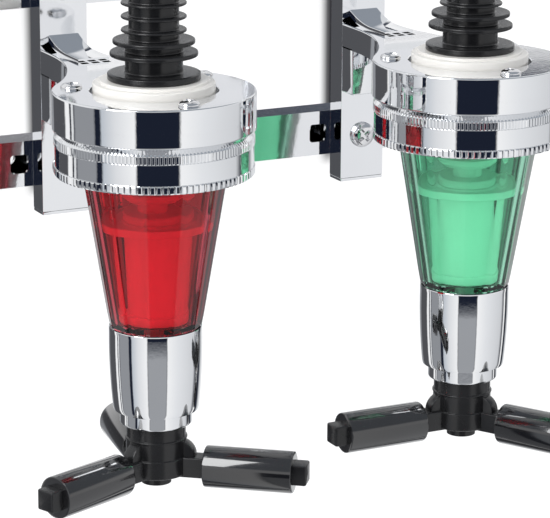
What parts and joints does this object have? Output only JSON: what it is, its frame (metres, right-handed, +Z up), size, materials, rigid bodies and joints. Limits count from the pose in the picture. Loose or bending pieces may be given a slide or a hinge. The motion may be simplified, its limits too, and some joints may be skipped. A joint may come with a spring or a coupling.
{
  "type": "party shot dispenser",
  "caption": "Chromed wall rack with spring-loaded shot measures for upside-down bottles, each worked by push arms under a tinted chamber",
  "frame": {"origin": "centre of the four wall screws, on the plane of the wall", "axes": "+X along the rails, +Y into the wall, +Z up"},
  "size_m": [0.218, 0.1404, 0.4506],
  "materials": {
    "chrome": "bright chrome plate",
    "screw_steel": "bright zinc-plated or stainless steel",
    "black_plastic": "black moulded plastic, satin to gloss",
    "gloss_black": "soft black vinyl, glossy",
    "ivory_plastic": "ivory moulded plastic",
    "white_plastic": "white moulded plastic",
    "black_rubber": "black food-safe rubber, satin",
    "red_clear": "clear red moulded plastic",
    "green_clear": "clear green moulded plastic"
  },
  "bodies": {
    "rack": {"lower_rail": "chrome", "upper_rail": "chrome", "rail_end_caps": "chrome", "rail_nuts": "screw_steel", "column_screws": "screw_steel", "bracket_screws": "screw_steel", "column_end_caps": "chrome", "column_left": "chrome", "column_right": "chrome", "bracket_left": "chrome", "neck_ring_left": "black_plastic", "ring_screws_left": "screw_steel", "inlet_collar_left": "ivory_plastic", "bottle_stopper_left": "black_rubber", "air_tube_left": "screw_steel", "chamber_gasket_left": "black_rubber", "chamber_left": "red_clear", "measure_insert_left": "white_plastic", "return_spring_left": "screw_steel", "outlet_sleeve_left": "chrome", "sleeve_seal_left": "black_rubber", "guide_bush_left": "chrome", "bracket_right": "chrome", "neck_ring_right": "black_plastic", "ring_screws_right": "screw_steel", "inlet_collar_right": "ivory_plastic", "bottle_stopper_right": "black_rubber", "air_tube_right": "screw_steel", "chamber_gasket_right": "black_rubber", "chamber_right": "green_clear", "measure_insert_right": "white_plastic", "return_spring_right": "screw_steel", "outlet_sleeve_right": "chrome", "sleeve_seal_right": "black_rubber", "guide_bush_right": "chrome"},
    "plunger_left": {"valve_rod_left": "ivory_plastic", "inlet_valve_left": "white_plastic", "outlet_valve_left": "white_plastic", "pouring_tube_left": "black_plastic", "hub_clip_left": "screw_steel"},
    "push_ring_left": {"push_hub_left": "black_plastic", "arm_grips_left": "gloss_black"},
    "nut_left": {"locking_nut_left": "chrome"},
    "holder_left": {"holder_slider_left": "black_plastic", "holder_pad_left": "black_rubber"},
    "knob_left": {"thumb_screw_left": "black_plastic"},
    "plunger_right": {"valve_rod_right": "ivory_plastic", "inlet_valve_right": "white_plastic", "outlet_valve_right": "white_plastic", "pouring_tube_right": "black_plastic", "hub_clip_right": "screw_steel"},
    "push_ring_right": {"push_hub_right": "black_plastic", "arm_grips_right": "gloss_black"},
    "nut_right": {"locking_nut_right": "chrome"},
    "holder_right": {"holder_slider_right": "black_plastic", "holder_pad_right": "black_rubber"},
    "knob_right": {"thumb_screw_right": "black_plastic"}
  },
  "joints": [
    {"name": "plunger_slide_left", "type": "slide", "parent": "rack", "child": "plunger_left", "axis": [0, 0, 1], "range_m": [0, 0.0042], "stiffness_N_per_m": 900, "springref_m": -0.006, "deforming": ["return_spring_left"]},
    {"name": "push_ring_turn_left", "type": "hinge", "parent": "plunger_left", "child": "push_ring_left", "pos_m": [-0.044, -0.095, -0.112], "axis": [0, 0, 1], "continuous": true},
    {"name": "nut_turn_left", "type": "hinge", "parent": "rack", "child": "nut_left", "pos_m": [-0.044, -0.095, -0.01], "axis": [0, 0, -1], "range_deg": [0, 90]},
    {"name": "holder_slide_left", "type": "slide", "parent": "rack", "child": "holder_left", "axis": [0, 0, 1], "range_m": [-0.12, 0.01]},
    {"name": "knob_turn_left", "type": "hinge", "parent": "holder_left", "child": "knob_left", "pos_m": [-0.032, -0.01575, 0.3055], "axis": [1, 0, 0], "continuous": true},
    {"name": "plunger_slide_right", "type": "slide", "parent": "rack", "child": "plunger_right", "axis": [0, 0, 1], "range_m": [0, 0.0042], "stiffness_N_per_m": 900, "springref_m": -0.006, "deforming": ["return_spring_right"]},
    {"name": "push_ring_turn_right", "type": "hinge", "parent": "plunger_right", "child": "push_ring_right", "pos_m": [0.071, -0.095, -0.112], "axis": [0, 0, 1], "continuous": true},
    {"name": "nut_turn_right", "type": "hinge", "parent": "rack", "child": "nut_right", "pos_m": [0.071, -0.095, -0.01], "axis": [0, 0, -1], "range_deg": [0, 90]},
    {"name": "holder_slide_right", "type": "slide", "parent": "rack", "child": "holder_right", "axis": [0, 0, 1], "range_m": [-0.12, 0.01]},
    {"name": "knob_turn_right", "type": "hinge", "parent": "holder_right", "child": "knob_right", "pos_m": [0.083, -0.01575, 0.3055], "axis": [1, 0, 0], "continuous": true}
  ]
}
